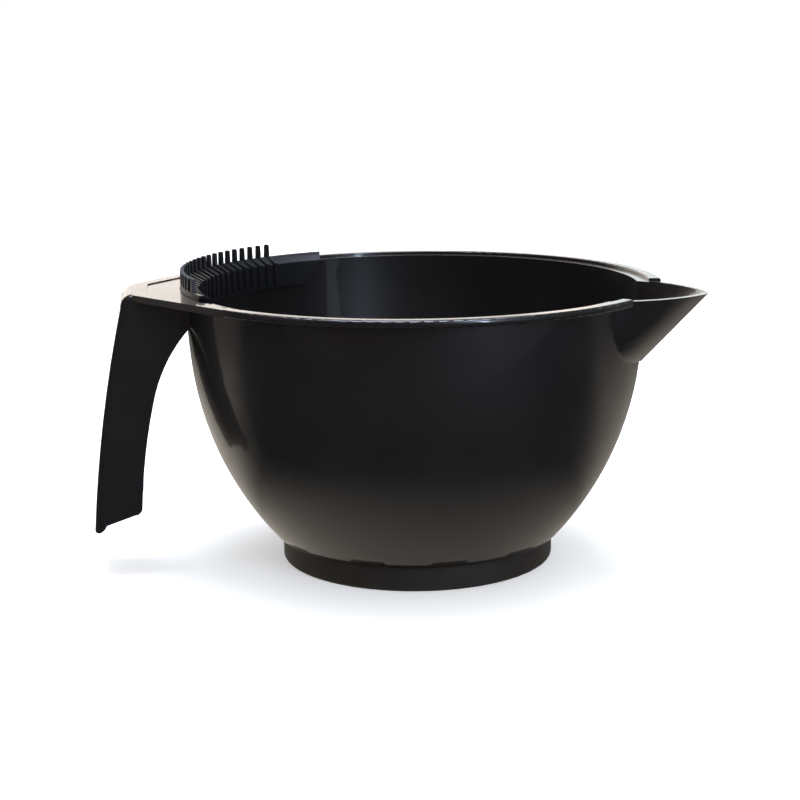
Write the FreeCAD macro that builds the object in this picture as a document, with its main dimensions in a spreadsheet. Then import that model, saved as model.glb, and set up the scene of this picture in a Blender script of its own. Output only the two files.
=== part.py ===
import FreeCAD, Part
import math
import os

import Sketcher

# Hair color bowl: a moulded mixing bowl with a pouring spout, an open channel handle, a clip-in
# comb strip for wiping the tint brush, and a soft non-slip ring under the foot.
# Frame: origin at the centre of the resting face, +Z up the bowl's axis, handle along -X.
# Lengths are in millimetres and angles in degrees.

DRIVING_SIZES = (
    # bowl wall and rim
    ("rim_radius", 70.0, "outer edge of the rim flange"),
    ("rim_height", 80.0, "top of the rim above the resting face"),
    ("rim_thick", 2.0, "height of the rim flange's outer band"),
    ("rim_overhang", 5.0, "how far the flange stands out over the wall"),
    ("rim_round", 0.6, "rounded outer edges of the flange"),
    ("land_round", 0.4, "rounded edge of the flange's inner step"),
    ("rim_land", 3.5, "flat ring on top of the flange, outside the inner step"),
    ("step_depth", 0.9, "inner step below the top of the rim"),
    ("wall_thick", 1.8, "bowl wall"),
    ("side_arc", 176.0, "radius of the steep upper side"),
    ("shoulder_drop", 20.3, "height of the steep upper side under the flange"),
    ("floor_thick", 2.0, "floor of the bowl"),
    ("floor_blend", 14.0, "round between the inside floor and the side"),
    # foot and the ring on it
    ("base_radius", 39.2, "outside of the non-slip ring"),
    ("base_height", 6.9, "height of the non-slip ring"),
    ("base_wall", 2.2, "outer wall of the ring"),
    ("base_sole", 2.0, "rubber under the foot"),
    ("base_inner_lip", 1.8, "inner wall of the ring"),
    ("base_gap", 0.4, "shadow gap between the ring and the bowl above it"),
    ("base_setback", 1.6, "how far the bowl stands out over the ring"),
    ("base_round", 1.0, "rounded lower edge of the ring"),
    ("tread_width", 1.2, "grip groove in the sole"),
    ("tread_depth", 0.6, "depth of the grip groove"),
    ("foot_wall", 1.8, "foot skirt that stands in the ring"),
    ("ring_drop", 0.3, "clearance between the ring's inner wall and the floor above it"),
    ("bead_size", 0.4, "snap bead around the foot skirt"),
    ("bead_height", 4.5, "middle of the snap bead"),
    # shelf and handle
    ("shelf_thick", 2.0, "flat shelf between the rim and the handle"),
    ("handle_width", 22.0, "across the two flanges of the handle"),
    ("handle_wall", 2.0, "flange thickness"),
    ("handle_web", 2.4, "thickness of the handle's back"),
    ("shelf_run", 9.5, "outer edge of the rim to the end of the flat shelf"),
    ("bend_run", 3.4, "bend at the top of the handle, outwards"),
    ("bend_fall", 3.8, "bend at the top of the handle, downwards"),
    ("back_run", 9.9, "how far the back leans out from bend to tip"),
    ("back_arc", 410.0, "long curve of the handle's back"),
    ("tip_height", 12.4, "tip of the handle above the resting face"),
    ("tip_round", 0.9, "rounded end of the handle"),
    ("tongue_thick", 3.6, "depth of the tip below the flanges"),
    ("tongue_drop", 2.6, "how far the tip reaches below the flanges"),
    ("flange_depth", 13.6, "back of the handle to the free edge of a flange, at its foot"),
    ("flange_rise", 2.6, "slope of the flange's lower edge"),
    ("flange_corner", 2.2, "rounded lower corner of a flange"),
    ("grip_drop", 30.0, "top of the rim down to where the free edge starts to curve to the bowl"),
    ("grip_run", 4.4, "how far the free edge leans in up to that height"),
    ("grip_arc", 171.0, "long curve of the free edge"),
    ("throat_arc", 44.0, "tight curve of the free edge under the shelf"),
    ("throat_drop", 9.6, "top of the rim down to where the free edge meets the bowl wall"),
    ("handle_round", 1.8, "rounded long edges of the handle's back"),
    ("panel_depth", 0.3, "recess in the top of the shelf"),
    ("panel_margin", 4.0, "plain border around the recess"),
    # pouring spout
    ("spout_turn", -26.0, "direction of the spout about the bowl's axis"),
    ("spout_beyond", 13.4, "how far the tip of the spout stands out past the rim"),
    ("spout_bury", 4.2, "how deep the root of the spout's sides lies inside the wall's face"),
    ("spout_half", 21.3, "half width of the spout at its root"),
    ("spout_depth", 20.0, "lip of the spout to the foot of its keel"),
    ("spout_run", 18.4, "how far the keel comes in over that depth"),
    ("spout_nose", 3.0, "rounded nose of the spout at its lip"),
    ("spout_taper", 0.55, "share of that rounding lost at the foot of the keel"),
    ("spout_side_arc", 34.0, "long curve of the spout's sides, seen from above"),
    ("spout_wall", 1.5, "wall of the spout"),
    ("lip_thin", 0.5, "share of that wall left at the lip"),
    ("nose_wall", 2.1, "wall of the spout at its nose"),
    ("lip_drop", 0.7, "lip of the spout below the top of the rim"),
    ("notch_half", 17.2, "half angle of the gap in the flange at the spout"),
    # comb strip
    ("comb_start", 109.5, "where the strip starts about the bowl's axis"),
    ("comb_span", 93.0, "angle that the strip covers"),
    ("comb_skirt", 8.0, "how far the strip hangs below the top of the rim"),
    ("comb_thick", 1.3, "wall of the strip"),
    ("comb_rise", 1.3, "strip above the top of the rim, between the teeth"),
    ("blade_thick", 1.2, "top edge of the strip, where the teeth stand"),
    ("slope_drop", 0.8, "top of the rim down to where the strip's slope meets its skirt"),
    ("comb_fit", 0.2, "clearance between the strip and the bowl"),
    ("tooth_first", 17.0, "first tooth from the start of the strip"),
    ("tooth_pitch", 3.05, "angle between two teeth"),
    ("tooth_count", 24, "number of teeth"),
    ("tooth_width", 1.15, "width of a tooth at its tip"),
    ("tooth_root", 1.7, "width of a tooth at its root"),
    ("tooth_arc", 0.6, "rounded tip of a tooth"),
    ("tooth_setback", 0.05, "tooth behind the outer face of the strip"),
    ("tooth_height", 5.3, "tip of a tooth above the top of the rim"),
    ("tooth_depth", 1.1, "radial depth of a tooth"),
    ("web_width", 1.1, "width of the web that props a tooth"),
    ("web_height", 0.5, "how far a web stands out of the strip's skirt"),
    ("web_rise", 1.7, "top of a web above the top of the rim, at its tooth"),
    ("web_foot", 0.3, "top of the rim down to where a web turns down the skirt"),
    ("end_slope", 7.0, "length of the slanted end of the strip"),
)

# Values worked out from the driving sizes, named once and used by every piece that shares them.
WORKED_SIZES = (
    ("wall_radius", "sizes.rim_radius - sizes.rim_overhang"),
    ("step_radius", "sizes.rim_radius - sizes.rim_land"),
    ("under_rim", "sizes.rim_height - sizes.rim_thick"),
    ("ledge_height", "sizes.rim_height - sizes.step_depth"),
    ("inner_radius", "wall_radius - sizes.wall_thick"),
    # the side is one arc with an upright tangent under the flange, then a second, tangent arc
    ("shoulder_height", "under_rim - sizes.shoulder_drop"),
    ("side_centre", "wall_radius - sizes.side_arc"),
    ("shoulder_span", "sqrt(sizes.side_arc ^ 2 - sizes.shoulder_drop ^ 2)"),
    ("shoulder_radius", "side_centre + shoulder_span"),
    ("out_r", "shoulder_span / sizes.side_arc"),
    ("out_z", "-sizes.shoulder_drop / sizes.side_arc"),
    ("skirt_height", "sizes.base_height + sizes.base_gap"),
    ("skirt_radius", "sizes.base_radius + sizes.base_setback"),
    ("chord_r", "shoulder_radius - skirt_radius"),
    ("chord_z", "shoulder_height - skirt_height"),
    ("lower_arc", "(chord_r ^ 2 + chord_z ^ 2) / (2 * (chord_r * out_r + chord_z * out_z))"),
    ("lower_centre_r", "shoulder_radius - lower_arc * out_r"),
    ("lower_centre_z", "shoulder_height - lower_arc * out_z"),
    ("inner_side_arc", "sizes.side_arc - sizes.wall_thick"),
    ("inner_lower_arc", "lower_arc - sizes.wall_thick"),
    ("inner_shoulder_r", "shoulder_radius - sizes.wall_thick * out_r"),
    ("inner_shoulder_z", "shoulder_height - sizes.wall_thick * out_z"),
    ("under_floor", "skirt_height"),
    ("floor_height", "under_floor + sizes.floor_thick"),
    ("floor_drop", "lower_centre_z - floor_height"),
    ("floor_radius", "lower_centre_r + sqrt(inner_lower_arc ^ 2 - floor_drop ^ 2)"),
    ("foot_outer", "sizes.base_radius - sizes.base_wall"),
    ("foot_inner", "foot_outer - sizes.foot_wall"),
    ("ring_inner", "foot_inner - sizes.base_inner_lip"),
    # handle, seen from the side: x is negative because the handle is on the -X side
    ("half_width", "sizes.handle_width / 2"),
    ("shelf_reach", "sizes.rim_radius + sizes.shelf_run"),
    ("bend_end_x", "-(shelf_reach + sizes.bend_run)"),
    ("bend_end_z", "sizes.rim_height - sizes.bend_fall"),
    ("tip_x", "bend_end_x - sizes.back_run"),
    ("foot_edge_x", "tip_x + sizes.flange_depth"),
    ("tongue_x", "tip_x + sizes.tongue_thick"),
    ("tongue_z", "sizes.tip_height + sizes.tongue_drop"),
    ("foot_edge_z", "tongue_z + sizes.flange_rise"),
    ("grip_x", "foot_edge_x + sizes.grip_run"),
    ("grip_height", "sizes.rim_height - sizes.grip_drop"),
    ("throat_height", "sizes.rim_height - sizes.throat_drop"),
    ("throat_x", "-sqrt(wall_radius ^ 2 - half_width ^ 2)"),
    # the shelf's edges run tangentially off the rim
    ("shelf_corner", "sqrt(shelf_reach ^ 2 + half_width ^ 2)"),
    ("shelf_spread", "atan(half_width / shelf_reach) + acos(sizes.rim_radius / shelf_corner)"),
    ("shelf_meet_x", "-sizes.rim_radius * cos(shelf_spread)"),
    ("shelf_meet_y", "sizes.rim_radius * sin(shelf_spread)"),
    # the recess in the shelf keeps a plain border on both edges and at the handle
    ("panel_end", "shelf_reach - sizes.panel_margin"),
    ("panel_side", "sizes.rim_radius - sizes.panel_margin"),
    ("panel_end_y", "(panel_side - panel_end * cos(shelf_spread)) / sin(shelf_spread)"),
    ("panel_spread", "shelf_spread - acos(panel_side / step_radius)"),
    # spout
    ("lip_height", "sizes.rim_height - sizes.lip_drop"),
    ("spout_reach", "sizes.rim_radius + sizes.spout_beyond"),
    ("spout_root", "wall_radius - sizes.spout_bury"),
    # comb strip
    ("comb_outer", "step_radius - sizes.comb_fit"),
    ("comb_back", "inner_radius - sizes.comb_fit"),
    ("comb_inner", "comb_back - sizes.comb_thick"),
    ("comb_low", "sizes.rim_height - sizes.comb_skirt"),
    ("comb_high", "sizes.rim_height + sizes.comb_rise"),
    ("comb_middle", "comb_inner + sizes.comb_thick / 2"),
    ("blade_inner", "comb_outer - sizes.blade_thick"),
    ("slope_foot", "sizes.rim_height - sizes.slope_drop"),
)

INSIDE = 50.0  # a depth that lies well inside the bowl, for faces that end up inside the wall
CLEAR = 3.0  # how far a cutting outline runs past the face that it cuts
SAME = 1e-3  # two lengths nearer than this are one

doc = FreeCAD.newDocument("hair_color_bowl")
sizes = doc.addObject("Spreadsheet::Sheet", "sizes")
worked = doc.addObject("Spreadsheet::Sheet", "worked")


def fill_sheets():
    """Write the driving sizes as plain numbers and the worked ones as formulas."""
    for row, (alias, number, meaning) in enumerate(DRIVING_SIZES, start=1):
        sizes.set(f"A{row}", meaning)
        sizes.set(f"B{row}", str(number))
        sizes.setAlias(f"B{row}", alias)
    doc.recompute()
    for row, (alias, formula) in enumerate(WORKED_SIZES, start=1):
        worked.set(f"B{row}", "=" + formula)
        worked.setAlias(f"B{row}", alias)
        doc.recompute()


def number(expression):
    """The value that an expression has now, as a plain float."""
    found = worked.evalExpression(str(expression))
    return float(getattr(found, "Value", found))


def new_body(name):
    body = doc.addObject("PartDesign::Body", name)
    body.Label = name
    return body


def new_sketch(body, name, role, lift="0", turn="0", turn_axis=(0, 0, 1)):
    """A sketch on one of the body's origin planes, lifted off it and turned by expressions."""
    sketch = body.newObject("Sketcher::SketchObject", name)
    plane = next(f for f in body.Origin.OriginFeatures if f.Role == role)
    sketch.AttachmentSupport = [(plane, "")]
    sketch.MapMode = "FlatFace"
    rotation = FreeCAD.Rotation(FreeCAD.Vector(*turn_axis), number(turn))
    sketch.AttachmentOffset = FreeCAD.Placement(FreeCAD.Vector(0, 0, number(lift)), rotation)
    if lift != "0":
        sketch.setExpression("AttachmentOffset.Base.z", lift)
    if turn != "0":
        sketch.setExpression("AttachmentOffset.Rotation.Angle", turn)
    return sketch


def tangent_sketch(body, name, angle, radius):
    """An upright sketch square to the radius at an angle, its normal pointing at the bowl's axis.

    Its own x axis runs clockwise around the rim and its own y axis runs up.
    """
    sketch = new_sketch(body, name, "XZ_Plane", f"-{radius} * sin({angle})", f"{angle} - 90", (0, 1, 0))
    sketch.setExpression("AttachmentOffset.Base.x", f"{radius} * cos({angle})")
    return sketch


def bind(sketch, constraint, expression):
    """Add a constraint whose value is held by an expression."""
    index = sketch.addConstraint(constraint)
    sketch.setExpression(f"Constraints[{index}]", expression)


def arc_between(start, end, radius, centre_on_left):
    """The short arc of a radius between two points, drawn counter-clockwise for the sketch."""
    chord = end - start
    middle = (start + end) / 2
    left = FreeCAD.Vector(-chord.y, chord.x, 0).normalize()
    reach = math.sqrt(radius**2 - (chord.Length / 2) ** 2)
    centre = middle + left * (reach if centre_on_left else -reach)
    first, last = (start, end) if centre_on_left else (end, start)
    angles = [math.atan2(p.y - centre.y, p.x - centre.x) for p in (first, last)]
    circle = Part.Circle(centre, FreeCAD.Vector(0, 0, 1), radius)
    return Part.ArcOfCircle(circle, angles[0], angles[1])


def draw_outline(sketch, corners):
    """Draw a closed outline.

    Each corner is (x, y) with a straight edge to the next corner, or (x, y, radius, side) with
    an arc to it, whose centre lies on the named side of the way of travel. All are expressions.
    """
    points = [FreeCAD.Vector(number(c[0]), number(c[1]), 0) for c in corners]
    ends = []
    for index, corner in enumerate(corners):
        start, end = points[index], points[(index + 1) % len(points)]
        if len(corner) == 2:
            edge = sketch.addGeometry(Part.LineSegment(start, end), False)
            ends.append((edge, 1, 2))
            continue
        on_left = corner[3] == "left"
        edge = sketch.addGeometry(arc_between(start, end, number(corner[2]), on_left), False)
        ends.append((edge, 1, 2) if on_left else (edge, 2, 1))
    for index, (edge, first, last) in enumerate(ends):
        following = ends[(index + 1) % len(ends)]
        sketch.addConstraint(Sketcher.Constraint("Coincident", edge, last, following[0], following[1]))
    for index, corner in enumerate(corners):
        edge, first, last = ends[index]
        point = points[index]
        bind(sketch, Sketcher.Constraint("DistanceX", edge, first, point.x), corner[0])
        bind(sketch, Sketcher.Constraint("DistanceY", edge, first, point.y), corner[1])
        if len(corner) > 2:
            bind(sketch, Sketcher.Constraint("Radius", edge, number(corner[2])), corner[2])


def add_feature(body, kind, name, sketch):
    feature = body.newObject("PartDesign::" + kind, name)
    feature.Profile = sketch
    return feature


def add_turned(body, kind, name, sketch, angle="360"):
    """A Revolution or Groove about the sketch's own upright axis."""
    feature = add_feature(body, kind, name, sketch)
    feature.ReferenceAxis = (sketch, ["V_Axis"])
    feature.Angle = number(angle)
    if angle != "360":
        feature.setExpression("Angle", angle)
    return feature


def volume_after(body):
    doc.recompute()
    return body.Shape.Volume


def require_change(body, before, grows, name):
    """Stop if a feature pointed the wrong way and changed nothing."""
    after = volume_after(body)
    changed = after > before if grows else after < before
    if not changed:
        raise RuntimeError(f"{name} did not change {body.Label}: {before:.1f} to {after:.1f}")


def fillet_edges(body, name, radius, wanted):
    """Round the edges that a test picks out."""
    doc.recompute()
    base = body.Tip
    picked = [f"Edge{i + 1}" for i, edge in enumerate(base.Shape.Edges) if wanted(edge)]
    if not picked:
        raise RuntimeError(f"{name} found no edge")
    feature = body.newObject("PartDesign::Fillet", name)
    feature.Base = (base, picked)
    feature.Radius = number(radius)
    feature.setExpression("Radius", radius)
    doc.recompute()
    return feature


# The handle: a channel with its back outwards and two flanges that run up to the bowl wall.


def handle_outline():
    """Side view of the handle with its flanges, from the shelf round to the bowl wall."""
    inside = f"-{INSIDE}"
    return (
        (inside, "sizes.rim_height"),
        ("-worked.shelf_reach", "sizes.rim_height", "(sizes.bend_run + sizes.bend_fall) / 2", "left"),
        ("worked.bend_end_x", "worked.bend_end_z", "sizes.back_arc", "left"),
        ("worked.tip_x", "sizes.tip_height", "sizes.tongue_thick", "left"),
        ("worked.tongue_x", "worked.tongue_z"),
        ("worked.foot_edge_x - sizes.flange_corner", "worked.foot_edge_z", "sizes.flange_corner", "left"),
        ("worked.foot_edge_x", "worked.foot_edge_z + sizes.flange_corner", "sizes.grip_arc", "right"),
        ("worked.grip_x", "worked.grip_height", "sizes.throat_arc", "right"),
        ("worked.throat_x", "worked.throat_height"),
        (inside, "worked.throat_height"),
    )


def channel_outline():
    """Side view of the hollow between the flanges, open to the bowl and downwards."""
    inside = f"-{INSIDE - CLEAR}"
    top = "sizes.rim_height - sizes.shelf_thick"
    bend = "(sizes.bend_run + sizes.bend_fall) / 2"
    back = "sizes.back_arc - sizes.handle_web"
    return (
        (inside, top),
        ("-worked.shelf_reach", top, bend, "left"),
        ("worked.bend_end_x + sizes.handle_web", f"{top} - sizes.bend_fall", back, "left"),
        ("worked.tip_x + sizes.handle_web", f"sizes.tip_height - {CLEAR}"),
        (inside, f"sizes.tip_height - {CLEAR}"),
    )


def add_handle(body):
    side = new_sketch(body, "HandleSide", "XZ_Plane")
    draw_outline(side, handle_outline())
    blank = add_feature(body, "Pad", "HandleBlank", side)
    blank.SideType = "Symmetric"
    blank.setExpression("Length", "sizes.handle_width")
    before = volume_after(body)
    hollow = new_sketch(body, "HandleHollow", "XZ_Plane")
    draw_outline(hollow, channel_outline())
    channel = add_feature(body, "Pocket", "HandleChannel", hollow)
    channel.SideType = "Symmetric"
    channel.setExpression("Length", "sizes.handle_width - 2 * sizes.handle_wall")
    require_change(body, before, False, "HandleChannel")
    half, end = number("worked.half_width"), number("worked.shelf_reach")
    foot = number("worked.foot_edge_z + sizes.flange_corner")

    def on_back(edge):
        box = edge.BoundBox
        on_side = abs(abs(box.YMin) - half) < SAME and box.YLength < SAME
        return on_side and box.XMax < -end + SAME and box.ZMax > foot

    fillet_edges(body, "BackRound", "sizes.handle_round", on_back)
    tip = number("sizes.tip_height")

    def at_tip(edge):
        box = edge.BoundBox
        return abs(box.ZMin - tip) < SAME and box.ZLength < SAME and box.XLength < SAME

    fillet_edges(body, "TipRound", "sizes.tip_round", at_tip)


# The shelf: a flat plate that runs tangentially off the rim and narrows to the handle.


def add_shelf(body):
    plan = new_sketch(body, "ShelfPlan", "XY_Plane", "sizes.rim_height")
    corners = (
        ("-worked.shelf_reach", "-worked.half_width"),
        ("worked.shelf_meet_x", "-worked.shelf_meet_y"),
        ("worked.shelf_meet_x", "worked.shelf_meet_y"),
        ("-worked.shelf_reach", "worked.half_width"),
    )
    draw_outline(plan, corners)
    plate = add_feature(body, "Pad", "Shelf", plan)
    plate.Reversed = True
    plate.setExpression("Length", "sizes.shelf_thick")
    doc.recompute()


def cut_panel(body):
    """Sink the middle of the shelf; the recess runs out into the rim's inner step."""
    panel = new_sketch(body, "PanelPlan", "XY_Plane", "sizes.rim_height")
    near_x = "-worked.step_radius * cos(worked.panel_spread)"
    near_y = "worked.step_radius * sin(worked.panel_spread)"
    corners = (
        ("-worked.panel_end", "-worked.panel_end_y"),
        (near_x, f"-{near_y}", "worked.step_radius", "right"),
        (near_x, near_y),
        ("-worked.panel_end", "worked.panel_end_y"),
    )
    draw_outline(panel, corners)
    recess = add_feature(body, "Pocket", "ShelfRecess", panel)
    recess.setExpression("Length", "sizes.panel_depth")
    before = body.Shape.Volume
    require_change(body, before, False, "ShelfRecess")


# The bowl: one turned outline outside, one inside.


def add_bowl_solid(body):
    profile = new_sketch(body, "BowlOutside", "XZ_Plane")
    bead_low = "sizes.bead_height - sizes.bead_size"
    bead_high = "sizes.bead_height + sizes.bead_size"
    draw_outline(
        profile,
        (
            ("0", "worked.under_floor"),
            ("worked.foot_inner", "worked.under_floor"),
            ("worked.foot_inner", "sizes.base_sole"),
            ("worked.foot_outer", "sizes.base_sole"),
            ("worked.foot_outer", bead_low),
            ("worked.foot_outer + sizes.bead_size", "sizes.bead_height"),
            ("worked.foot_outer", bead_high),
            ("worked.foot_outer", "worked.skirt_height"),
            ("worked.skirt_radius", "worked.skirt_height", "worked.lower_arc", "left"),
            ("worked.shoulder_radius", "worked.shoulder_height", "sizes.side_arc", "left"),
            ("worked.wall_radius", "worked.under_rim"),
            ("sizes.rim_radius - sizes.rim_round", "worked.under_rim", "sizes.rim_round", "left"),
            ("sizes.rim_radius", "worked.under_rim + sizes.rim_round"),
            ("sizes.rim_radius", "sizes.rim_height - sizes.rim_round", "sizes.rim_round", "left"),
            ("sizes.rim_radius - sizes.rim_round", "sizes.rim_height"),
            ("0", "sizes.rim_height"),
        ),
    )
    add_turned(body, "Revolution", "BowlSolid", profile)
    doc.recompute()


def cut_rim_notch(body):
    """Take the flange away where the spout leaves the bowl."""
    plan = new_sketch(body, "NotchPlan", "XY_Plane", "sizes.rim_height", "sizes.spout_turn")
    across = "cos(sizes.notch_half)"
    along = "sin(sizes.notch_half)"
    far = f"(sizes.rim_radius + {CLEAR + CLEAR})"
    near = "worked.wall_radius"
    draw_outline(
        plan,
        (
            (f"{near} * {across}", f"{near} * {along}", near, "right"),
            (f"{near} * {across}", f"-{near} * {along}"),
            (f"{far} * {across}", f"-{far} * {along}"),
            (f"{far} * {across}", f"{far} * {along}"),
        ),
    )
    notch = add_feature(body, "Pocket", "RimNotch", plan)
    notch.setExpression("Length", "sizes.rim_thick")
    before = body.Shape.Volume
    require_change(body, before, False, "RimNotch")


def cut_cavity(body):
    profile = new_sketch(body, "BowlInside", "XZ_Plane")
    draw_outline(
        profile,
        (
            ("0", "worked.floor_height"),
            ("worked.floor_radius", "worked.floor_height", "worked.inner_lower_arc", "left"),
            ("worked.inner_shoulder_r", "worked.inner_shoulder_z", "worked.inner_side_arc", "left"),
            ("worked.inner_radius", "worked.under_rim"),
            ("worked.inner_radius", "worked.ledge_height"),
            ("worked.step_radius", "worked.ledge_height"),
            ("worked.step_radius", "sizes.rim_height - sizes.land_round", "sizes.land_round", "right"),
            ("worked.step_radius + sizes.land_round", "sizes.rim_height"),
            ("worked.step_radius + sizes.land_round", f"sizes.rim_height + {CLEAR}"),
            ("0", f"sizes.rim_height + {CLEAR}"),
        ),
    )
    before = body.Shape.Volume
    add_turned(body, "Groove", "BowlCavity", profile)
    require_change(body, before, False, "BowlCavity")
    floor, edge_r = number("worked.floor_height"), number("worked.floor_radius")

    def around_floor(edge):
        box = edge.BoundBox
        return abs(box.ZMin - floor) < SAME and box.ZLength < SAME and box.XLength > edge_r

    fillet_edges(body, "FloorBlend", "sizes.floor_blend", around_floor)


# The spout: a trough whose keel runs straight down to the bowl wall.

SPOUT_LEVELS = (0.0, 0.35, 0.65, 0.87, 0.97)  # shares of the spout's depth, lip to keel foot
CHANNEL_LEVELS = (-0.1,) + SPOUT_LEVELS[1:]
# how many walls each slice lies inside the spout's outer face
SOLID_INSETS = ("0",) * len(SPOUT_LEVELS)
CHANNEL_INSETS = ("sizes.lip_thin",) + ("1",) * (len(SPOUT_LEVELS) - 1)


def spout_section(body, name, level, inset):
    """A level slice of the spout: wide at the bowl, its bowed sides drawn in to a rounded nose."""
    lift = f"worked.lip_height - {level} * sizes.spout_depth"
    sketch = new_sketch(body, name, "XY_Plane", lift, "sizes.spout_turn")
    keep = (1 - max(level, 0) ** 3) ** (1 / 3)
    half = f"(sizes.spout_half * {keep:.4f} - {inset} * sizes.spout_wall)"
    nose = f"(worked.spout_reach - {level} * sizes.spout_run - {inset} * sizes.nose_wall)"
    round_off = f"(sizes.spout_nose * (1 - {level} * sizes.spout_taper) - {inset} * sizes.spout_wall / 2)"
    bow = f"(sizes.spout_side_arc - {inset} * sizes.spout_wall)"
    centre = f"({nose} - {round_off})"
    root_x = f"(worked.spout_root - {inset} * 2 * sizes.spout_wall)"
    root, width = number(root_x), number(half)
    radius, middle, side_radius = number(round_off), number(centre), number(bow)
    # the side's arc starts at the root and touches the nose from outside
    start, hub = FreeCAD.Vector(root, width, 0), FreeCAD.Vector(middle, 0, 0)
    run = hub - start
    along = (side_radius**2 - (side_radius - radius) ** 2 + run.Length**2) / (2 * run.Length)
    down = FreeCAD.Vector(run.y, -run.x, 0).normalize()
    run.normalize()
    pivot = start + run * along + down * math.sqrt(side_radius**2 - along**2)
    touch = hub + (hub - pivot).normalize() * radius
    corners = (
        FreeCAD.Vector(root, width, 0),
        FreeCAD.Vector(INSIDE, width, 0),
        FreeCAD.Vector(INSIDE, -width, 0),
        FreeCAD.Vector(root, -width, 0),
    )
    up = FreeCAD.Vector(0, 0, 1)
    bend = math.atan2(touch.y, touch.x - middle)
    reach = math.atan2(start.y - pivot.y, start.x - pivot.x)
    lower = Part.Circle(FreeCAD.Vector(pivot.x, -pivot.y, 0), up, side_radius)
    side_in = sketch.addGeometry(Part.ArcOfCircle(lower, -reach, -bend), False)
    tip = sketch.addGeometry(Part.ArcOfCircle(Part.Circle(hub, up, radius), -bend, bend), False)
    upper = Part.Circle(pivot, up, side_radius)
    side_out = sketch.addGeometry(Part.ArcOfCircle(upper, bend, reach), False)
    flank = sketch.addGeometry(Part.LineSegment(corners[0], corners[1]), False)
    back = sketch.addGeometry(Part.LineSegment(corners[1], corners[2]), False)
    return_flank = sketch.addGeometry(Part.LineSegment(corners[2], corners[3]), False)
    sketch.addConstraint(Sketcher.Constraint("Tangent", side_in, 2, tip, 1))
    sketch.addConstraint(Sketcher.Constraint("Tangent", tip, 2, side_out, 1))
    for first, second in ((side_out, flank), (flank, back), (back, return_flank), (return_flank, side_in)):
        sketch.addConstraint(Sketcher.Constraint("Coincident", first, 2, second, 1))
    bind(sketch, Sketcher.Constraint("DistanceX", tip, 3, middle), centre)
    bind(sketch, Sketcher.Constraint("DistanceY", tip, 3, 0.0), "0")
    bind(sketch, Sketcher.Constraint("Radius", tip, radius), round_off)
    for edge, side in ((side_in, "-"), (flank, "")):
        bind(sketch, Sketcher.Constraint("DistanceX", edge, 1, root), root_x)
        bind(sketch, Sketcher.Constraint("DistanceY", edge, 1, width if not side else -width), side + half)
    for edge in (side_in, side_out):
        bind(sketch, Sketcher.Constraint("Radius", edge, side_radius), bow)
    for edge, side in ((back, ""), (return_flank, "-")):
        bind(sketch, Sketcher.Constraint("DistanceX", edge, 1, INSIDE), str(INSIDE))
        bind(sketch, Sketcher.Constraint("DistanceY", edge, 1, width if not side else -width), side + half)
    return sketch


def add_spout(body, kind, name, levels, insets, grows):
    """Loft the spout, or the channel in it, through its level slices."""
    slices = enumerate(zip(levels, insets))
    sections = [spout_section(body, f"{name}{i}", level, inset) for i, (level, inset) in slices]
    before = volume_after(body)
    loft = body.newObject("PartDesign::" + kind, name)
    loft.Profile = sections[0]
    loft.Sections = [(section, "") for section in sections[1:]]
    require_change(body, before, grows, name)


# The comb strip: it hangs in the inner step of the rim, with a row of teeth along its top.


def comb_end(body, name, angle, side):
    """Slant one end of the strip: side is + for the end that lies clockwise."""
    away = "" if side == "+" else "-"
    back = "-" if side == "+" else ""
    plan = tangent_sketch(body, name, angle, f"(worked.comb_outer + {CLEAR})")
    corners = (
        ("0", "worked.comb_high"),
        (f"{back}sizes.end_slope", "worked.comb_low"),
        (f"{back}sizes.end_slope", f"worked.comb_low - {CLEAR}"),
        (f"{away}{CLEAR}", f"worked.comb_low - {CLEAR}"),
        (f"{away}{CLEAR}", f"worked.comb_high + {CLEAR}"),
        ("0", f"worked.comb_high + {CLEAR}"),
    )
    draw_outline(plan, corners)
    cut = add_feature(body, "Pocket", name + "Cut", plan)
    cut.Reversed = True
    cut.setExpression("Length", f"{CLEAR + CLEAR} + worked.comb_outer - worked.comb_inner")
    return cut


def tooth_outline():
    """Front of a tooth: wide at the strip, narrow and rounded at its tip."""
    tip, root = "sizes.tooth_width / 2", "sizes.tooth_root / 2"
    shoulder = f"sizes.rim_height + sizes.tooth_height - {tip}"
    return (
        (f"-{root}", "worked.ledge_height"),
        (root, "worked.ledge_height"),
        (tip, shoulder, "sizes.tooth_arc", "left"),
        (f"-{tip}", shoulder),
    )


def web_outline():
    """Side of the web that runs from a tooth over the strip's slope and down its skirt."""
    low = "worked.comb_low + sizes.web_width"
    middle = "worked.comb_outer - sizes.blade_thick / 2"
    return (
        ("worked.comb_inner - sizes.web_height", low),
        ("worked.comb_middle", low),
        ("worked.comb_middle", "worked.ledge_height"),
        (middle, "worked.comb_high"),
        (middle, "sizes.rim_height + sizes.web_rise"),
        ("worked.blade_inner", "sizes.rim_height + sizes.web_rise"),
        ("worked.comb_inner - sizes.web_height", "sizes.rim_height - sizes.web_foot"),
    )


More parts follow.
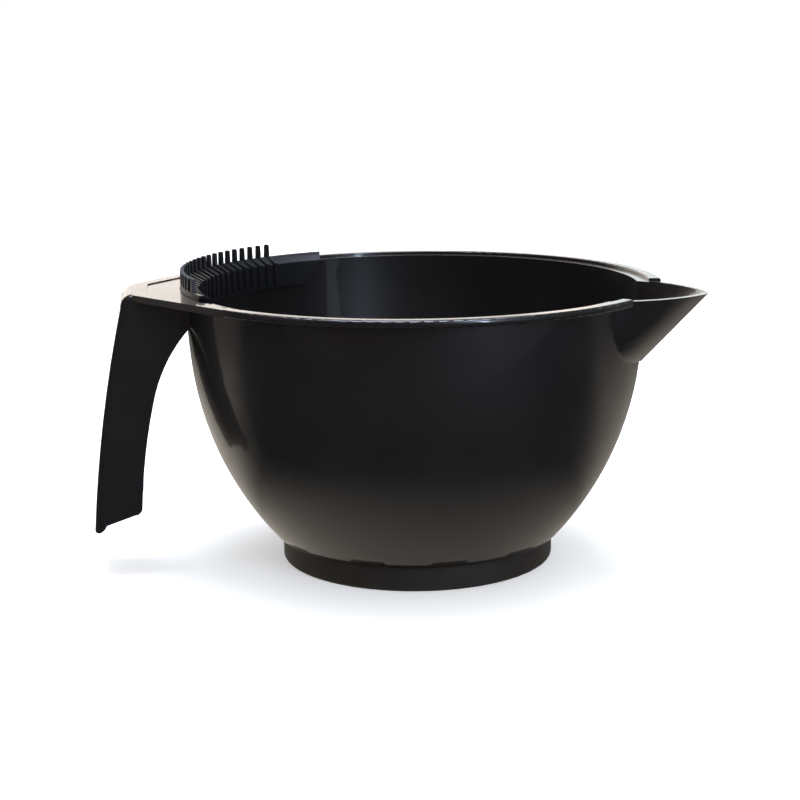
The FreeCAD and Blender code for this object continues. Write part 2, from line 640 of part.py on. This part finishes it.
def build_comb():
    body = new_body("brush_comb")
    strip = new_sketch(body, "StripProfile", "XZ_Plane", "0", "sizes.comb_start", (0, 1, 0))
    corners = (
        ("worked.comb_inner", "worked.comb_low"),
        ("worked.comb_back", "worked.comb_low"),
        ("worked.comb_back", "worked.ledge_height"),
        ("worked.comb_outer", "worked.ledge_height"),
        ("worked.comb_outer", "worked.comb_high"),
        ("worked.blade_inner", "worked.comb_high"),
        ("worked.comb_inner", "worked.slope_foot"),
    )
    draw_outline(strip, corners)
    add_turned(body, "Revolution", "Strip", strip, "sizes.comb_span")
    before = volume_after(body)
    comb_end(body, "StartEnd", "sizes.comb_start", "+")
    require_change(body, before, False, "StartEnd")
    before = body.Shape.Volume
    comb_end(body, "FarEnd", "(sizes.comb_start + sizes.comb_span)", "-")
    require_change(body, before, False, "FarEnd")
    angle = "(sizes.comb_start + sizes.tooth_first)"
    face = tangent_sketch(body, "ToothFace", angle, "(worked.comb_outer - sizes.tooth_setback)")
    draw_outline(face, tooth_outline())
    before = body.Shape.Volume
    tooth = add_feature(body, "Pad", "Tooth", face)
    tooth.setExpression("Length", "sizes.tooth_depth")
    require_change(body, before, True, "Tooth")
    side = new_sketch(body, "WebSide", "XZ_Plane", "0", angle, (0, 1, 0))
    draw_outline(side, web_outline())
    before = body.Shape.Volume
    web = add_feature(body, "Pad", "Web", side)
    web.SideType = "Symmetric"
    web.setExpression("Length", "sizes.web_width")
    require_change(body, before, True, "Web")
    row = body.newObject("PartDesign::PolarPattern", "ToothRow")
    row.Originals = [tooth, web]
    z_axis = next(f for f in body.Origin.OriginFeatures if f.Role == "Z_Axis")
    row.Axis = (z_axis, [""])
    row.setExpression("Angle", "sizes.tooth_pitch * (sizes.tooth_count - 1)")
    row.setExpression("Occurrences", "sizes.tooth_count")
    body.Tip = row
    before = body.Shape.Volume
    require_change(body, before, True, "ToothRow")
    return body


# The non-slip ring: a soft tray that the foot skirt stands in, held by the snap bead.


def build_base():
    body = new_body("non_slip_base")
    profile = new_sketch(body, "RingProfile", "XZ_Plane")
    floor_gap = "worked.under_floor - sizes.ring_drop"
    corners = (
        ("worked.ring_inner", "0"),
        ("sizes.base_radius - sizes.base_round", "0", "sizes.base_round", "left"),
        ("sizes.base_radius", "sizes.base_round"),
        ("sizes.base_radius", "sizes.base_height"),
        ("worked.foot_outer", "sizes.base_height"),
        ("worked.foot_outer", "sizes.bead_height + sizes.bead_size"),
        ("worked.foot_outer + sizes.bead_size", "sizes.bead_height"),
        ("worked.foot_outer", "sizes.bead_height - sizes.bead_size"),
        ("worked.foot_outer", "sizes.base_sole"),
        ("worked.foot_inner", "sizes.base_sole"),
        ("worked.foot_inner", floor_gap),
        ("worked.ring_inner", floor_gap),
    )
    draw_outline(profile, corners)
    add_turned(body, "Revolution", "Ring", profile)
    before = volume_after(body)
    tread = new_sketch(body, "TreadProfile", "XZ_Plane")
    inner = "(worked.foot_outer - sizes.tread_width)"
    corners = (
        (inner, f"-{CLEAR}"),
        ("worked.foot_outer", f"-{CLEAR}"),
        ("worked.foot_outer", "sizes.tread_depth"),
        (inner, "sizes.tread_depth"),
    )
    draw_outline(tread, corners)
    add_turned(body, "Groove", "Tread", tread)
    require_change(body, before, False, "Tread")
    return body


def build_shell():
    body = new_body("bowl_shell")
    add_handle(body)
    add_shelf(body)
    add_bowl_solid(body)
    cut_panel(body)
    cut_rim_notch(body)
    add_spout(body, "AdditiveLoft", "SpoutSolid", SPOUT_LEVELS, SOLID_INSETS, True)
    cut_cavity(body)
    add_spout(body, "SubtractiveLoft", "SpoutChannel", CHANNEL_LEVELS, CHANNEL_INSETS, False)
    return body


def check_and_export(bodies):
    """Stop on any feature in error, then write one STEP file for each piece."""
    doc.recompute()
    for item in doc.Objects:
        if "Invalid" in item.State or "Error" in item.State:
            raise RuntimeError(f"{item.Name} is {item.State}")
    os.makedirs("parts", exist_ok=True)
    for body in bodies:
        shape = body.Shape
        if shape.isNull() or not shape.isValid() or len(shape.Solids) != 1:
            raise RuntimeError(f"{body.Label} is not one valid solid")
        shape.exportStep(f"parts/{body.Label}.step")
        print(body.Label, round(shape.Volume, 1), "mm3")


fill_sheets()
check_and_export((build_shell(), build_comb(), build_base()))
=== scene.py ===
import math

import bmesh
import bpy
from mathutils import Matrix, Vector


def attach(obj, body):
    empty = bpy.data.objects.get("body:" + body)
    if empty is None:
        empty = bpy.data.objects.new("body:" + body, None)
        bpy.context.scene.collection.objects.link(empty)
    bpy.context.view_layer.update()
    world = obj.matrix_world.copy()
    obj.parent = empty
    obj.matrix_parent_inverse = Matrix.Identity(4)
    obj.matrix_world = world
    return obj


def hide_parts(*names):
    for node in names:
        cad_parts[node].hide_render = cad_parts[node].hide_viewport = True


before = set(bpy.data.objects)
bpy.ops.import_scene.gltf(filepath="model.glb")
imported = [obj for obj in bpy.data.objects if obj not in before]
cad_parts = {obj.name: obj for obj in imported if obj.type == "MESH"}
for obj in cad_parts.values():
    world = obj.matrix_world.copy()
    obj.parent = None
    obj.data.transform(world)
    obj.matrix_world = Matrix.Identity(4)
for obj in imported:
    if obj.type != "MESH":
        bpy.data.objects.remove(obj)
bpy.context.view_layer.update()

# ---------------------------------------------------------------------------------------------
# The camera: a long lens a little above the rim, in front of the bowl and a little to the left
# of the handle's side, with a slight roll.
# ---------------------------------------------------------------------------------------------
camera_place = Vector((-0.06734, -0.47629, 0.14875))
camera_aim = Vector((-0.00456, 0.00060, 0.04520))
camera_roll = math.radians(-0.74)
looking = (camera_aim - camera_place).normalized()
level = looking.cross(Vector((0, 0, 1))).normalized()
upward = level.cross(looking)
across = level * math.cos(camera_roll) + upward * math.sin(camera_roll)
upright = upward * math.cos(camera_roll) - level * math.sin(camera_roll)
lens = bpy.data.cameras.new("studio_camera")
lens.lens = 76.54
lens.sensor_width = 36.0
lens.clip_start = 0.01
lens.clip_end = 20.0
camera = bpy.data.objects.new("studio_camera", lens)
camera.matrix_world = Matrix.Translation(camera_place) @ Matrix(
    (across, upright, -looking)
).transposed().to_4x4()
bpy.context.scene.collection.objects.link(camera)
bpy.context.scene.camera = camera

# ---------------------------------------------------------------------------------------------
# The bowl: injection-moulded black polypropylene from a polished mould. The skin is glossy over
# a faintly milky body, with the soft ripple and the hair-fine rubs that a used bowl has.
# ---------------------------------------------------------------------------------------------
ripple_scale = 45.0  # swells to the metre: one every 22 mm, the slow ripple of a thin moulded wall
ripple_strength = 0.03
ripple_lift = 0.001  # m
smear_scale = 28.0  # smears to the metre: one every 36 mm, about two fingers wide
smear_breakup = 0.62
wiped_roughness = 0.24
rubbed_roughness = 0.42
polypropylene_ior = 1.49
skin_gloss = 0.6
skin_roughness = 0.04


def linear(hex_colour):
    """An sRGB hex colour as the linear red, green, blue and alpha that a shader socket takes."""
    channels = [int(hex_colour[i : i + 2], 16) / 255 for i in (1, 3, 5)]
    return [c / 12.92 if c <= 0.04045 else ((c + 0.055) / 1.055) ** 2.4 for c in channels] + [1.0]


def add_node(tree, kind, links=None, **settings):
    """Add a node. Settings named like a socket fill it, others are the node's own properties."""
    node = tree.nodes.new(kind)
    for name, value in settings.items():
        socket = node.inputs.get(name.replace("_", " "))
        if socket is None or name == name.lower():
            setattr(node, name, value)
        else:
            socket.default_value = value
    for socket, source in (links or {}).items():
        tree.links.new(source, node.inputs[socket])
    return node


def shade_between(ramp_node, *stops):
    """Give a colour ramp its two stops, each a position and an sRGB hex colour."""
    for element, (position, hex_colour) in zip(ramp_node.color_ramp.elements, stops):
        element.position = position
        element.color = linear(hex_colour)


def bare_finish(name):
    """A new material with nothing in its node tree yet, and that tree."""
    finish = bpy.data.materials.new(name)
    finish.use_nodes = True
    finish.node_tree.nodes.clear()
    return finish, finish.node_tree


bowl_plastic, tree = bare_finish("gloss_black_polypropylene")
place = add_node(tree, "ShaderNodeTexCoord")
ripple = add_node(
    tree,
    "ShaderNodeTexNoise",
    {"Vector": place.outputs["Object"]},
    Scale=ripple_scale,
    Detail=2.0,
)
swell = add_node(
    tree,
    "ShaderNodeBump",
    {"Height": ripple.outputs["Fac"]},
    Strength=ripple_strength,
    Distance=ripple_lift,
)
smear = add_node(
    tree,
    "ShaderNodeTexNoise",
    {"Vector": place.outputs["Object"]},
    Scale=smear_scale,
    Detail=5.0,
    Roughness=smear_breakup,
)
handled = add_node(
    tree,
    "ShaderNodeMapRange",
    {"Value": smear.outputs["Fac"]},
    To_Min=wiped_roughness,
    To_Max=rubbed_roughness,
)
body = add_node(tree, "ShaderNodeValToRGB", {"Fac": smear.outputs["Fac"]})
shade_between(body, (0.3, "#100f10"), (0.75, "#151313"))
gloss = add_node(
    tree,
    "ShaderNodeBsdfPrincipled",
    {
        "Normal": swell.outputs["Normal"],
        "Roughness": handled.outputs["Result"],
        "Base Color": body.outputs["Color"],
    },
    IOR=polypropylene_ior,
    Coat_Weight=skin_gloss,
    Coat_Roughness=skin_roughness,
    Coat_IOR=polypropylene_ior,
)
add_node(tree, "ShaderNodeOutputMaterial", {"Surface": gloss.outputs["BSDF"]})

join_distance = 0.000002  # m, between corners that are the same point of the moulding
crisp_angle = math.radians(50)  # a bend sharper than this is a true edge of the mould
face_size_weight = 80  # how far the large faces decide the shading of the small ones


def moulded(node_name, piece_name, finish):
    """The moulding of one CAD solid: its triangles joined to one skin, with true edges crisp."""
    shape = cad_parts[node_name].data
    skin = bpy.data.meshes.new(piece_name)
    skin.from_pydata([v.co[:] for v in shape.vertices], [], [p.vertices[:] for p in shape.polygons])
    joined = bmesh.new()
    joined.from_mesh(skin)
    bmesh.ops.remove_doubles(joined, verts=joined.verts, dist=join_distance)
    joined.to_mesh(skin)
    joined.free()
    skin.shade_smooth()
    skin.set_sharp_from_angle(angle=crisp_angle)
    draft = bpy.data.objects.new(piece_name, skin)
    bpy.context.scene.collection.objects.link(draft)
    even = draft.modifiers.new("even_shading", "WEIGHTED_NORMAL")
    even.keep_sharp = True
    even.weight = face_size_weight
    graph = bpy.context.evaluated_depsgraph_get()
    draft.data = bpy.data.meshes.new_from_object(draft.evaluated_get(graph))
    draft.modifiers.clear()
    draft.data.materials.clear()
    draft.data.materials.append(finish)
    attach(draft, "root")
    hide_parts(node_name)


moulded("bowl_shell", "moulded_bowl", bowl_plastic)

# ---------------------------------------------------------------------------------------------
# The comb strip: the same black polypropylene from a duller, spark-eroded mould, so its skin
# is a shade bluer and softer than the bowl's. It is pushed into the rim's inner step.
# ---------------------------------------------------------------------------------------------
spark_grain_scale = 1600.0  # pits to the metre: one every 0.6 mm, coarser than real so it shows
spark_grain_strength = 0.15
spark_grain_lift = 0.00008  # m
satin_roughness = 0.38

comb_plastic, tree = bare_finish("satin_black_polypropylene")
place = add_node(tree, "ShaderNodeTexCoord")
grain = add_node(
    tree,
    "ShaderNodeTexNoise",
    {"Vector": place.outputs["Object"]},
    Scale=spark_grain_scale,
    Detail=2.0,
)
pits = add_node(
    tree,
    "ShaderNodeBump",
    {"Height": grain.outputs["Fac"]},
    Strength=spark_grain_strength,
    Distance=spark_grain_lift,
)
satin = add_node(
    tree,
    "ShaderNodeBsdfPrincipled",
    {"Normal": pits.outputs["Normal"]},
    Base_Color=linear("#101114"),
    Roughness=satin_roughness,
    IOR=polypropylene_ior,
)
add_node(tree, "ShaderNodeOutputMaterial", {"Surface": satin.outputs["BSDF"]})
moulded("brush_comb", "clip_in_comb", comb_plastic)

# ---------------------------------------------------------------------------------------------
# The non-slip ring: soft thermoplastic rubber, moulded on its own and snapped over the foot. It
# is matte and a little brown, with a fine even grain that greys where it is handled.
# ---------------------------------------------------------------------------------------------
rubber_grain_scale = 1100.0  # grains to the metre: one every 0.9 mm, coarser than real so it shows
rubber_grain_strength = 0.35
rubber_grain_lift = 0.0001  # m
handling_scale = 70.0  # clouds to the metre: one every 14 mm, about a fingertip
rubber_roughness = 0.62
rubber_ior = 1.5

base_rubber, tree = bare_finish("matte_thermoplastic_rubber")
place = add_node(tree, "ShaderNodeTexCoord")
grain = add_node(
    tree,
    "ShaderNodeTexNoise",
    {"Vector": place.outputs["Object"]},
    Scale=rubber_grain_scale,
    Detail=3.0,
)
pits = add_node(
    tree,
    "ShaderNodeBump",
    {"Height": grain.outputs["Fac"]},
    Strength=rubber_grain_strength,
    Distance=rubber_grain_lift,
)
cloud = add_node(
    tree,
    "ShaderNodeTexNoise",
    {"Vector": place.outputs["Object"]},
    Scale=handling_scale,
    Detail=4.0,
)
tone = add_node(tree, "ShaderNodeValToRGB", {"Fac": cloud.outputs["Fac"]})
shade_between(tone, (0.35, "#0f0b0a"), (0.75, "#1a1512"))
rubber = add_node(
    tree,
    "ShaderNodeBsdfPrincipled",
    {"Normal": pits.outputs["Normal"], "Base Color": tone.outputs["Color"]},
    Roughness=rubber_roughness,
    IOR=rubber_ior,
)
add_node(tree, "ShaderNodeOutputMaterial", {"Surface": rubber.outputs["BSDF"]})
moulded("non_slip_base", "soft_foot_ring", base_rubber)

# ---------------------------------------------------------------------------------------------
# The studio: a pale paper floor in a soft white room. Pale cards behind and beside the bowl and
# a dim room in front give the black plastic something to reflect.
# ---------------------------------------------------------------------------------------------
paper_roughness = 0.9
floor_reach = 6.0  # m, from the middle of the floor to each side
floor_glow = 0.30


def stage_sheet(name, corners, colour, strength, only_reflected):
    """A glowing flat card of the studio, which only reflections show or only they leave out."""
    mesh = bpy.data.meshes.new(name)
    mesh.from_pydata(corners, [], [tuple(range(len(corners)))])
    card = bpy.data.objects.new(name, mesh)
    bpy.context.scene.collection.objects.link(card)
    paper = bpy.data.materials.new(name + "_paper")
    paper.use_nodes = True
    skin = paper.node_tree.nodes["Principled BSDF"]
    skin.inputs["Base Color"].default_value = linear(colour)
    skin.inputs["Roughness"].default_value = paper_roughness
    skin.inputs["Emission Color"].default_value = linear(colour)
    skin.inputs["Emission Strength"].default_value = strength
    mesh.materials.append(paper)
    if only_reflected:
        card.visible_camera = False
        card.visible_diffuse = False
        card.visible_shadow = False
    else:
        card.visible_glossy = False
    return card


floor_corners = [
    (-floor_reach, -floor_reach, 0),
    (floor_reach, -floor_reach, 0),
    (floor_reach, floor_reach, 0),
    (-floor_reach, floor_reach, 0),
]
stage_sheet("studio_floor", floor_corners, "#fafafa", floor_glow, False)

turn = math.atan2(looking.x, looking.y)


def seen(across_m, away_m, up_m):
    """A point given across the camera's view, away from the camera and up, from the bowl's axis."""
    return (
        across_m * math.cos(turn) + away_m * math.sin(turn),
        away_m * math.cos(turn) - across_m * math.sin(turn),
        up_m,
    )


# A glowing card just under the floor, seen only in reflections, gives a painted reflection of the
# paper on the lower half of the bowl. It is bright beside and behind the foot, and fades out towards
# the front, the dim side of the room that the maker works from. All sizes are in metres.
card_sink = -0.0005  # just under the floor, so that the two sheets never share a plane
card_reach = 0.9
card_front = -0.20
card_back = 0.8
near_floor = [
    seen(-card_reach, card_back, card_sink),
    seen(-card_reach, card_front, card_sink),
    seen(card_reach, card_front, card_sink),
    seen(card_reach, card_back, card_sink),
]
# Painted reflection: this card lights nothing and only shows in reflections. Its glow, shaped below,
# stands in for the floor as the bowl reflects it.
floor_reflection_card = stage_sheet("painted_floor_reflection", near_floor, "#e8dfd0", 1.0, True)
card_tree = floor_reflection_card.data.materials[0].node_tree
card_skin = card_tree.nodes["Principled BSDF"]
card_skin.inputs["Base Color"].default_value = linear("#000000")
card_place = add_node(card_tree, "ShaderNodeTexCoord")
turned = add_node(
    card_tree,
    "ShaderNodeMapping",
    {"Vector": card_place.outputs["Object"]},
    Rotation=(0, 0, turn),
)
sides = add_node(card_tree, "ShaderNodeSeparateXYZ", {"Vector": turned.outputs["Vector"]})
distance = add_node(
    card_tree,
    "ShaderNodeVectorMath",
    {"Vector": card_place.outputs["Object"]},
    operation="LENGTH",
)
in_front = add_node(
    card_tree,
    "ShaderNodeMapRange",
    {"Value": distance.outputs["Value"]},
    interpolation_type="SMOOTHSTEP",
    From_Min=0.045,
    From_Max=0.095,
    To_Min=1.0,
    To_Max=0.0,
)
behind = add_node(
    card_tree,
    "ShaderNodeMapRange",
    {"Value": sides.outputs["Y"]},
    interpolation_type="SMOOTHSTEP",
    From_Min=-0.035,
    From_Max=0.03,
    To_Min=0.0,
    To_Max=1.0,
)
painted_bright_zone = add_node(
    card_tree,
    "ShaderNodeMath",
    {0: in_front.outputs["Result"], 1: behind.outputs["Result"]},
    operation="MAXIMUM",
)
to_side = add_node(
    card_tree,
    "ShaderNodeMapRange",
    {"Value": sides.outputs["X"]},
    From_Min=-0.10,
    From_Max=0.02,
    To_Min=0.85,
    To_Max=0.45,
)
far_off = add_node(
    card_tree,
    "ShaderNodeMapRange",
    {"Value": distance.outputs["Value"]},
    interpolation_type="SMOOTHSTEP",
    From_Min=0.14,
    From_Max=0.36,
    To_Min=1.0,
    To_Max=0.30,
)
faded = add_node(
    card_tree,
    "ShaderNodeMath",
    {0: painted_bright_zone.outputs["Value"], 1: far_off.outputs["Result"]},
    operation="MULTIPLY",
)
card_glow = add_node(
    card_tree,
    "ShaderNodeMath",
    {0: faded.outputs["Value"], 1: to_side.outputs["Result"]},
    operation="MULTIPLY",
)
# The painted reflection's glow: strongest round the foot and behind it, weaker towards the right and
# far off, and nothing in front.
card_tree.links.new(card_glow.outputs["Value"], card_skin.inputs["Emission Strength"])

# Two pale cards stand edge to edge behind the bowl, a warm one on the left and a cooler one on
# the right.
wall_away = 0.9
wall_top = 0.5
wall_left = -1.2
wall_corner = 0.16
wall_right = 1.4
back_wall = [
    seen(wall_left, wall_away, 0.0),
    seen(wall_corner, wall_away, 0.0),
    seen(wall_corner, wall_away, wall_top),
    seen(wall_left, wall_away, wall_top),
]
side_wall = [
    seen(wall_corner, wall_away, 0.0),
    seen(wall_right, wall_away, 0.0),
    seen(wall_right, wall_away, wall_top),
    seen(wall_corner, wall_away, wall_top),
]
stage_sheet("back_wall_card", back_wall, "#f2e6d6", 0.35, True)
stage_sheet("side_wall_card", side_wall, "#dfe2da", 0.30, True)


def soft_light(name, place, aim, width, height, colour, power):
    """A soft box that shines from one place to another."""
    light = bpy.data.lights.new(name, "AREA")
    light.shape = "RECTANGLE"
    light.size = width
    light.size_y = height
    light.color = linear(colour)[:3]
    light.energy = power
    lamp = bpy.data.objects.new(name, light)
    facing = (Vector(place) - Vector(aim)).to_track_quat("Z", "Y")
    lamp.matrix_world = Matrix.Translation(Vector(place)) @ facing.to_matrix().to_4x4()
    bpy.context.scene.collection.objects.link(lamp)


soft_light(
    name="overhead_box",
    place=seen(across_m=0.0, away_m=0.1, up_m=1.2),
    aim=(0, 0, 0),
    width=0.7,
    height=0.7,
    colour="#dfeaff",
    power=19.0,
)
soft_light(
    name="window_strip",
    place=seen(across_m=0.50, away_m=-0.87, up_m=0.42),
    aim=(0, 0, 0.07),
    width=0.07,
    height=0.62,
    colour="#d8e6ff",
    power=4.0,
)

# The room is white to everything but a reflection, which finds it dim: brown on one side and
# grey on the other.
room = bpy.data.worlds.new("soft_white_room")
room.use_nodes = True
room_tree = room.node_tree
room_tree.nodes.clear()
path = add_node(room_tree, "ShaderNodeLightPath")
around = add_node(room_tree, "ShaderNodeTexCoord")
sideways = add_node(room_tree, "ShaderNodeSeparateXYZ", {"Vector": around.outputs["Generated"]})
shade = add_node(room_tree, "ShaderNodeValToRGB", {"Fac": sideways.outputs["X"]})
shade_between(shade, (0.0, "#38201d"), (1.0, "#70757a"))
dim = add_node(room_tree, "ShaderNodeBackground", {"Color": shade.outputs["Color"]}, Strength=1.0)
white = add_node(room_tree, "ShaderNodeBackground", Color=linear("#ffffff"), Strength=1.0)
blend = add_node(
    room_tree,
    "ShaderNodeMixShader",
    {0: path.outputs["Is Glossy Ray"], 1: white.outputs["Background"], 2: dim.outputs["Background"]},
)
add_node(room_tree, "ShaderNodeOutputWorld", {"Surface": blend.outputs[0]})
bpy.context.scene.world = room
bpy.context.scene.view_settings.view_transform = "Standard"
